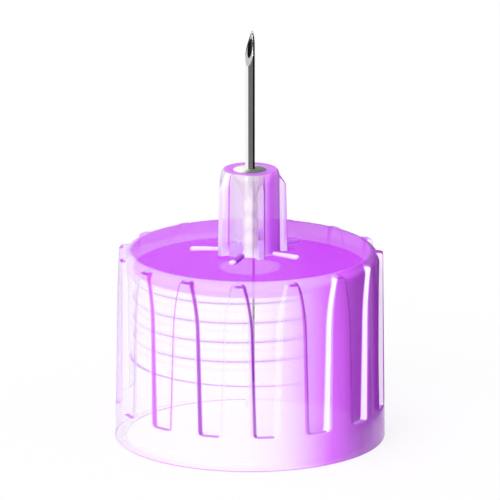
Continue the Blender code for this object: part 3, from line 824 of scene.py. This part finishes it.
UNDERSIDE_COVER = 0.72
EDGE_COVER = 0.90
THREAD_LINE_TINT = 1.8
FIN_LINE_TINT = 1.4
FIN_COVER = 0.75
RIGHT_FIN_TINT = 0.5
BAR_TINT = 0.1
BAR_BACK_TINT = 1.8
WELL_COVER = 0.06
RECESS_COVER = 0.10

count = len(hub_mesh.vertices)
places = np.empty(count * 3, np.float32)
normals = np.empty(count * 3, np.float32)
hub_mesh.vertices.foreach_get("co", places)
hub_mesh.vertices.foreach_get("normal", normals)
places = places.reshape(-1, 3)
normals = normals.reshape(-1, 3)
to_right, to_back, level = places.T
facing_right, facing_back, upright = normals.T
spread = np.maximum(np.hypot(to_right, to_back), WELD)
radial = places * np.array([1.0, 1.0, 0.0]) / spread[:, None]
outward = (normals * radial).sum(axis=1)
rightward = (facing_back * to_right - facing_right * to_back) / spread
to_side = to_right / SKIRT_RADIUS
angles = np.degrees(np.arctan2(to_right, -to_back))


def ease(values, start, width):
    """A soft step from 0 at a start to 1 a width further on."""
    return smooth((values - start) / width)


def near(values, middle, reach):
    """1 at a middle, and softly down to 0 at a reach from it."""
    return smooth(1 - np.abs(values - middle) / reach)


def from_nearest(first, number):
    """The angle in radians from the nearest of a number of pieces that stand evenly round the axis."""
    pitch = 360.0 / number
    return np.radians((angles - first + pitch / 2) % pitch - pitch / 2)


def blend_to(values, target, share):
    return values + (target - values) * share


def painted_shade_by_facing(lit_side, faces):
    """Painted light and shade: from 0 for pale, as lit, to 1 for full and 2 for dark, as shaded, by how far
    the faces turn away from the lit side.
    """
    turned = faces @ np.array(lit_side)
    pale = np.clip((turned - FULL_TINT) / (NO_TINT - FULL_TINT), 0.0, 1.0)
    dark = np.clip((FULL_TINT - turned) / (FULL_TINT - DARKEST), 0.0, 1.0)
    return 1 - pale + dark


def carry(mesh, label, values):
    """Puts a value for each point on a mesh, where a material reads it."""
    layer = mesh.attributes.new(label, "FLOAT", "POINT")
    layer.data.foreach_set("value", np.asarray(values, np.float32))


# The cup's outside, in painted light and shade. The ribs' flanks, ledges and tips show as painted shade
# lines, and edges turned to the left get a painted highlight. The pocket rims, a band along the foot and the
# foot's edge are painted deeper, and how well the wall covers follows the painted shade. At the back it is
# seen through the rest, so it is kept clear.
from_left = ease(to_side, 0.05, 0.55)
on_rim = ease(spread, RIM_START, 0.15 * MM)
leaning = normals + RIM_LEAN * radial * (on_rim * ease(upright, 0.6, 0.3))[:, None]
leaning /= np.linalg.norm(leaning, axis=1)[:, None]
tint_and_shade = painted_shade_by_facing(CUP_PAINTED_LIGHT_SIDE, leaning)
cover = blend_to(*WALL_COVER, smooth(tint_and_shade))
on_ribs = (spread > THREAD_ROOT_RADIUS + 0.15 * MM) & (outward > 0)
across_rib = from_nearest(RIB_ANGLE, RIB_COUNT) * (RIB_TOP_RADIUS + POCKET_FLOOR_RADIUS) / 2
rib_edges = np.vectorize(rib_edge)(np.maximum(HUB_HEIGHT - level - RIB_END_DROP / 2, 0.0))
to_flank = (np.abs(across_rib) - rib_edges) / FLANK_WIDTH
on_sides = on_ribs * (level > POCKET_BOTTOM) * ease(HUB_HEIGHT - level, 0.03 * MM, 0.06 * MM)
flank = near(to_flank, 0.0, 0.6) * on_sides
right_line = flank * (across_rib > 0) * (1 - ease(-to_right / spread, 0.86, 0.08))
left_line = near(to_flank, -0.25, 0.8) * on_sides
left_line *= (across_rib < 0) * (to_side < 0) * (0.15 + 0.85 * ease(-to_side, 0.2, 0.3))
left_line *= 1 - 0.6 * ease(-to_side, 0.72, 0.1)
left_edge = ease(-rightward, 0.4, 0.3) * on_ribs
ledge = near(level, POCKET_BOTTOM, LINE_REACH) * smooth(to_flank + 0.5) * on_ribs
tip = near(level - HUB_HEIGHT, -TIP_LINE_DROP, TIP_LINE_REACH) * (spread > POCKET_FLOOR_RADIUS)
tip *= smooth(0.5 - to_flank) * smooth(across_rib / rib_edges + 0.9) * on_ribs
# Painted shade lines on the ribs' right-turned flanks, the pockets' ledges and the ribs' tips.
lines = np.maximum(np.maximum(right_line, ledge), tip)
in_rim = ease(level, PLATE_UNDERSIDE, 0.1 * MM) * on_ribs
pocket_rims = in_rim * (0.35 + 0.65 * smooth(to_flank + 0.5))
tint_and_shade = blend_to(tint_and_shade, np.maximum(tint_and_shade, RIM_TINT), pocket_rims)
cover = blend_to(cover, np.maximum(cover, RIM_COVER), pocket_rims)
foot_band = smooth(1 - level / FOOT_BAND) * on_ribs * (1 - from_left)
tint_and_shade = blend_to(tint_and_shade, np.maximum(tint_and_shade, FOOT_BAND_TINT), foot_band)
cover = blend_to(cover, np.maximum(cover, FOOT_BAND_COVER), foot_band)
at_foot = on_ribs & (level < FOOT_EDGE)
tint_and_shade = np.where(at_foot, np.maximum(tint_and_shade, FOOT_EDGE_TINT), tint_and_shade)
cover = np.where(at_foot, FOOT_EDGE_COVER, cover)
line_tint = LINE_TINT - LINE_FADE * ease(-to_side, 0.5, 0.2)
tint_and_shade = blend_to(tint_and_shade, np.maximum(tint_and_shade + 0.4, line_tint), lines)
# Edges turned to the left are painted pale: a painted highlight.
tint_and_shade *= 1 - left_edge
cover = blend_to(cover, WALL_COVER[0], left_edge * (1 - from_left))
tint_and_shade = blend_to(tint_and_shade, np.maximum(tint_and_shade, LEFT_LINE_TINT), left_line)
tint_and_shade = blend_to(tint_and_shade, LINE_TINT, tip)
cover = blend_to(cover, EDGE_COVER, np.maximum(lines, left_edge * from_left))
cover = blend_to(cover, LEFT_LINE_COVER, left_line)
back = smooth(to_back / (0.5 * SKIRT_RADIUS)) * on_ribs * (level < HUB_HEIGHT - 0.02 * MM)
back_lines = np.maximum(flank, tip) * (0.25 + 0.75 * in_rim)
back_depth = np.maximum(np.maximum(from_left, back_lines), 0.9 * in_rim)
back_cover = 0.12 + 0.38 * from_left * (1 - in_rim) + 0.30 * in_rim * (1 - from_left / 2) + 0.5 * back_lines
tint_and_shade = blend_to(tint_and_shade, np.minimum(tint_and_shade, 0.2 + 0.6 * back_depth), back)
cover = blend_to(cover, np.minimum(cover, back_cover), back)

# The plate, top and underside, is the thick part. It is painted a deeper purple, for its thickness and as
# painted shade on faces that look up or down.
thick_and_shaded = ease(np.abs(upright), 0.6, 0.35) * (1 - on_rim) * (level > PLATE_UNDERSIDE - 0.05 * MM)
cover = blend_to(cover, np.where(upright > 0, TOP_COVER, UNDERSIDE_COVER), thick_and_shaded)

# The cup's inside is nearly clear on the left and painted deeper towards the right, as painted shade, and the
# thread and the step show as painted shade lines in its wall. The base ring gets a light tint, deeper and
# more opaque on the left.
in_cup = (spread > RECESS_RADIUS) & (level < PLATE_UNDERSIDE - 0.01 * MM) & (outward < 0.2)
upper_flank = ease(upright, 0.15, 0.35)
lower_flank = ease(-upright, 0.15, 0.35)
in_front = smooth(0.5 - to_back / (0.5 * SKIRT_RADIUS))
thread_lines = blend_to(0.1 * (upper_flank + lower_flank), upper_flank + 0.25 * lower_flank, in_front)
step_line = 0.9 * near(level, LEAD_IN_HEIGHT, LINE_REACH) * in_front
on_step = np.abs(level - LEAD_IN_HEIGHT) < 0.2 * MM
fine_lines = np.where(on_step, step_line, thread_lines)
fine_lines = np.where((level < FOOT_EDGE) & (to_back > 0) & (outward < -0.3), 0.7, fine_lines)
tint_and_shade = np.where(in_cup, np.maximum(from_left, THREAD_LINE_TINT * fine_lines), tint_and_shade)
cover = np.where(in_cup, 0.04 + 0.40 * from_left + 0.7 * fine_lines * (1 - from_left), cover)
base_ring = (level < 0.01 * MM) & (spread > MOUTH_RADIUS)
base_left = ease(-to_side, 0.3, 0.4)
tint_and_shade = np.where(base_ring, 0.30 + 0.15 * base_left, tint_and_shade)
cover = np.where(base_ring, 0.15 + 0.45 * base_left, cover)
thick_and_shaded = np.where(in_cup, 0.0, thick_and_shaded)

# The tower, in painted light and shade: clear in front, with painted light on the fins to the left and on the
# front faces of the right fin, which are pale and more opaque. It is more opaque behind and deeper to the
# right, and its rim is deep in painted shade. Right-turned fin edges show as painted shade lines. The well
# and the recess are left clear. The bars are painted pale, as a painted highlight, and only the front one's
# back is purple.
on_tower = (level > HUB_HEIGHT + 0.03 * MM) & (spread > WELL_MOUTH_RADIUS + 0.02 * MM)
tower_painted_shade = np.clip(painted_shade_by_facing(TOWER_PAINTED_LIGHT_SIDE, normals), 0.0, TOWER_MOST)
tint_and_shade = np.where(on_tower, tower_painted_shade, tint_and_shade)
cover = np.where(on_tower, blend_to(*TOWER_COVER, smooth(tower_painted_shade)), cover)
across_fin = spread * np.sin(from_nearest(FIN_ANGLE, FIN_COUNT))
to_flank = (np.abs(across_fin) - FIN_HALF_WIDTH + FIN_FLANK / 2) / FIN_FLANK
fin_line = near(to_flank, 0.4, 0.35) * (across_fin > 0) * (to_back < 0.1 * MM)
fin_line *= on_tower * ease(spread - TOWER_RIM_RADIUS, 0.03 * MM, 0.1 * MM) * (upright < 0.9)
tint_and_shade = blend_to(tint_and_shade, np.maximum(tint_and_shade, FIN_LINE_TINT), fin_line)
cover = blend_to(cover, EDGE_COVER, fin_line)
thick_and_shaded = np.where(on_tower, 0.45 * thick_and_shaded, thick_and_shaded)
# Painted light: the fins to the left and the front faces of the right fin are painted pale.
painted_light_fin = on_tower * smooth(0.3 - to_flank) * ease(-to_right, 0.4 * MM, 0.2 * MM)
right_fin_face = on_tower * ease(to_right, 1.05 * MM, 0.1 * MM) * ease(-facing_back, 0.4, 0.3)
painted_light_fin = np.maximum(painted_light_fin, right_fin_face) * (upright < 0.9)
tint_and_shade *= 1 - painted_light_fin
cover = blend_to(cover, FIN_COVER, painted_light_fin)
tint_and_shade = blend_to(tint_and_shade, RIGHT_FIN_TINT, right_fin_face * ease(to_right, 1.40 * MM, 0.05 * MM))
tower_back = smooth(to_back / (0.5 * MM)) * on_tower * (upright < 0.8)
back_cover = 0.80 - 0.45 * ease(np.abs(to_right), 0.9 * MM, 0.3 * MM)
tint_and_shade = blend_to(tint_and_shade, 0.14 + 0.50 * ease(to_right, 0.3 * MM, 0.5 * MM), tower_back)
cover = blend_to(cover, back_cover, tower_back)
on_bars = on_tower & (spread > TOWER_FOOT_RADIUS - 0.1 * MM) & (level < HUB_HEIGHT + 0.16 * MM)
on_bars &= (spread > FIN_FOOT_RADIUS + 0.05 * MM) | (np.abs(rightward) > 0.3)
on_bars &= (upright > -0.5) & (to_back < 0.5 * MM)
bar_turn = from_nearest(BAR_ANGLE, 1)
bar_back = on_bars & (np.abs(bar_turn) < 0.4) & (spread < BAR_REACH - 0.25 * MM)
tint_and_shade = np.where(on_bars, np.where(bar_back, BAR_BACK_TINT, BAR_TINT), tint_and_shade)
cover = np.where(on_bars, EDGE_COVER, cover)
thick_and_shaded = np.where(on_bars, 0.0, thick_and_shaded)
in_well = (spread < WELL_MOUTH_RADIUS + 0.01 * MM) & (level > RECESS_CEILING - 0.01 * MM)
in_recess = (spread < RECESS_RADIUS + 0.02 * MM) & (level > PLATE_UNDERSIDE)
in_recess &= level < RECESS_CEILING + 0.01 * MM
tint_and_shade = np.where(in_well, 0.0, tint_and_shade)
cover = np.where(in_well, WELL_COVER, cover)
cover = np.where(in_recess, RECESS_COVER, cover)
gloss = USUAL_GLOSS * (1 - 0.92 * ease(np.abs(upright), 0.4, 0.5))
for label, values in (("tint_and_shade", tint_and_shade / 2), ("thick_and_shaded", thick_and_shaded), ("cover", cover), ("gloss", gloss)):
    carry(hub_mesh, label, values)

hub = placed("hub_moulding", hub_mesh)
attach(hub, "root")
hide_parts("hub")

# The glue: a clear adhesive, cured in the well and down the bore. It wets the cannula, and its nearly level
# top is painted with light and shade, pale on the left and dark grey on the right. The pillar below the top
# lets the cannula show through.
GLUE_CLEARANCE = 0.01 * MM
GLUE_COLUMNS = 96
GLUE_RIM_DROP = 0.03 * MM
MENISCUS = 0.03 * MM
HOLE_TOP_DEPTH = 0.25 * MM
TOP_LAYER_DEPTH = 0.20 * MM
TOP_LAYER_BLEND = 0.12 * MM
PILLAR_COVER = 0.64
GLUE_SHARP_ANGLE = 50.0
CLOUD_SCALE = 2600.0
CLOUD_SHADE = 0.08

glue_hole = CANNULA_RADIUS + GLUE_CLEARANCE
glue_rim = WELL_MOUTH_RADIUS - GLUE_CLEARANCE
layer_foot = TOWER_TOP - TOP_LAYER_DEPTH
glue_profile = []
for share in spaced(0.0, 1.0, 14):
    radius = glue_hole + (glue_rim - glue_hole) * share
    wetting = MENISCUS * math.exp(-10 * share)
    glue_profile.append((radius, TOWER_TOP + wetting - GLUE_RIM_DROP * share**2))
glue_profile += [(radius - GLUE_CLEARANCE, height) for radius, height in well_wall[1:]]
glue_profile += [(glue_hole, RECESS_CEILING), (glue_hole, TOWER_TOP - HOLE_TOP_DEPTH)]
glue_angles = [360.0 * k / GLUE_COLUMNS for k in range(GLUE_COLUMNS)]
glue_rings = [ring_of(radius, height, glue_angles) for radius, height in glue_profile]
glue_mesh = lofted("glue_plug", glue_rings, joined=True)
glue_mesh.set_sharp_from_angle(angle=math.radians(GLUE_SHARP_ANGLE))
in_hole = [v.co.xy.length < glue_hole + WELD and v.co.z < layer_foot for v in glue_mesh.vertices]
carry(glue_mesh, "inside", in_hole)

glue_paint, tree, shader = new_paint("cured_glue")
spot = tree.nodes.new("ShaderNodeSeparateXYZ")
tree.links.new(tree.nodes.new("ShaderNodeTexCoord").outputs["Object"], spot.inputs[0])
# Painted light and shade on the glue's top: pale at the left front, dark at the right, with a cloudy tone.
across = maths(tree, "MULTIPLY_ADD", spot.outputs["X"], 0.5 / glue_rim, 0.5)
across = maths(tree, "MULTIPLY_ADD", spot.outputs["Y"], -0.2 / glue_rim, across)
rise = maths(tree, "MULTIPLY_ADD", spot.outputs["Z"], 1 / TOP_LAYER_BLEND, -layer_foot / TOP_LAYER_BLEND)
near_top = maths(tree, "MINIMUM", maths(tree, "MAXIMUM", rise, 0.0), 1.0)
cloudy = between(tree, grain(tree, CLOUD_SCALE, 4.0), -CLOUD_SHADE, CLOUD_SHADE)
top_painted_shade = maths(tree, "MULTIPLY", maths(tree, "ADD", across, cloudy), near_top)
glue_light_and_shade_stops = [
    (0.0, (0.98, 0.98, 0.88, 1.0)),
    (0.35, (0.90, 0.92, 0.80, 1.0)),
    (0.60, (0.13, 0.15, 0.13, 1.0)),
    (1.0, (0.07, 0.09, 0.07, 1.0)),
]
tree.links.new(ramp(tree, top_painted_shade, glue_light_and_shade_stops), shader.inputs["Base Color"])
outside = between(tree, mesh_value(tree, "inside"), 1.0, 0.0)
glue_cover = maths(tree, "MULTIPLY", between(tree, near_top, PILLAR_COVER, 1.0), outside)
tree.links.new(glue_cover, shader.inputs["Alpha"])
shader.inputs["Roughness"].default_value = 0.22
shader.inputs["Specular IOR Level"].default_value = 0.05
glue_mesh.materials.append(glue_paint)
glue = placed("glue_plug", glue_mesh)
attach(glue, "root")
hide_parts("adhesive")

# The cannula: a drawn stainless tube, polished. It is ground to a long bevel with two lancet facets at its
# point, and to a short bevel below.
cannula_low, cannula_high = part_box("cannula")
CANNULA_COLUMNS = 96
CANNULA_ROWS = 40
WALL_STEPS = 10
LUMEN_RADIUS = CANNULA_RADIUS - 0.095 * MM
BEVEL_LENGTH = 1.45 * MM
BEVEL_ANGLE = -28.0
LANCET_LENGTH = 0.62 * MM
LANCET_TURN = 38.0
REAR_BEVEL_LENGTH = 0.75 * MM
REAR_BEVEL_ANGLE = 130.0
TUBE_SHARP_ANGLE = 8.0
BORE_PAINTED_SHADE = (0.05, 0.05, 0.06, 1.0)
STEEL_POLISH = (0.04, 0.10)
DRAW_LINES = (30000.0, 30000.0, 400.0)


def ground_top(radius, angle):
    """The height of the tube's upper end: the lowest of the bevel and the two lancet facets."""
    spot = Vector(polar(radius, 0.0, angle))
    tip = Vector(polar(CANNULA_RADIUS, 0.0, BEVEL_ANGLE + 180))
    slopes = [(BEVEL_ANGLE, BEVEL_LENGTH / (2 * CANNULA_RADIUS))]
    slopes += [(BEVEL_ANGLE + side * LANCET_TURN, LANCET_LENGTH / CANNULA_RADIUS) for side in (-1, 1)]
    drops = [(spot - tip).dot(from_angles(facing, 0.0)) * slope for facing, slope in slopes]
    return cannula_high.z - max(drops)


def ground_foot(radius, angle):
    """The height of the tube's lower end, ground to a short bevel."""
    spot = Vector(polar(radius, 0.0, angle))
    lowest = Vector(polar(CANNULA_RADIUS, 0.0, REAR_BEVEL_ANGLE + 180))
    slope = REAR_BEVEL_LENGTH / (2 * CANNULA_RADIUS)
    return cannula_low.z + (spot - lowest).dot(from_angles(REAR_BEVEL_ANGLE, 0.0)) * slope


tube_angles = [360.0 * k / CANNULA_COLUMNS + BEVEL_ANGLE for k in range(CANNULA_COLUMNS)]
shares = spaced(0.0, 1.0, CANNULA_ROWS)
across_wall = spaced(CANNULA_RADIUS, LUMEN_RADIUS, WALL_STEPS)[1:-1]
tube_profile = [(CANNULA_RADIUS, share) for share in shares]
tube_profile += [(radius, 1.0) for radius in across_wall]
tube_profile += [(LUMEN_RADIUS, share) for share in shares[::-1]]
tube_profile += [(radius, 0.0) for radius in across_wall[::-1]]
tube_rings = []
for radius, share in tube_profile:
    ring = []
    for angle in tube_angles:
        foot_height = ground_foot(radius, angle)
        height = foot_height + (ground_top(radius, angle) - foot_height) * share
        ring.append(polar(radius, height, angle))
    tube_rings.append(ring)
tube_mesh = lofted("cannula_tube", tube_rings, joined=True)
tube_mesh.set_sharp_from_angle(angle=math.radians(TUBE_SHARP_ANGLE))
carry(tube_mesh, "inside", [vertex.co.xy.length < LUMEN_RADIUS + WELD for vertex in tube_mesh.vertices])

steel, tree, shader = new_paint("drawn_steel")
draw_lines = grain(tree, 1.0, 3.0, DRAW_LINES)
steel_stops = [(0.3, (0.84, 0.85, 0.86, 1.0)), (0.7, (0.94, 0.95, 0.95, 1.0))]
# The bore's inside is painted dark grey, as painted shade.
colour = mixed(tree, mesh_value(tree, "inside"), ramp(tree, draw_lines, steel_stops), BORE_PAINTED_SHADE)
tree.links.new(colour, shader.inputs["Base Color"])
tree.links.new(between(tree, draw_lines, *STEEL_POLISH), shader.inputs["Roughness"])
shader.inputs["Metallic"].default_value = 1.0
tube_mesh.materials.append(steel)
tube = placed("cannula_tube", tube_mesh)
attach(tube, "root")
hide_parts("cannula")

# Last: no piece mirrors another, so gloss shows only the studio. The colours are shown as they are.
SEE_THROUGH_LAYERS = 32

for piece in (hub, glue, tube):
    piece.visible_glossy = False
bpy.context.scene.view_settings.view_transform = "Standard"
bpy.context.scene.cycles.transparent_max_bounces = SEE_THROUGH_LAYERS
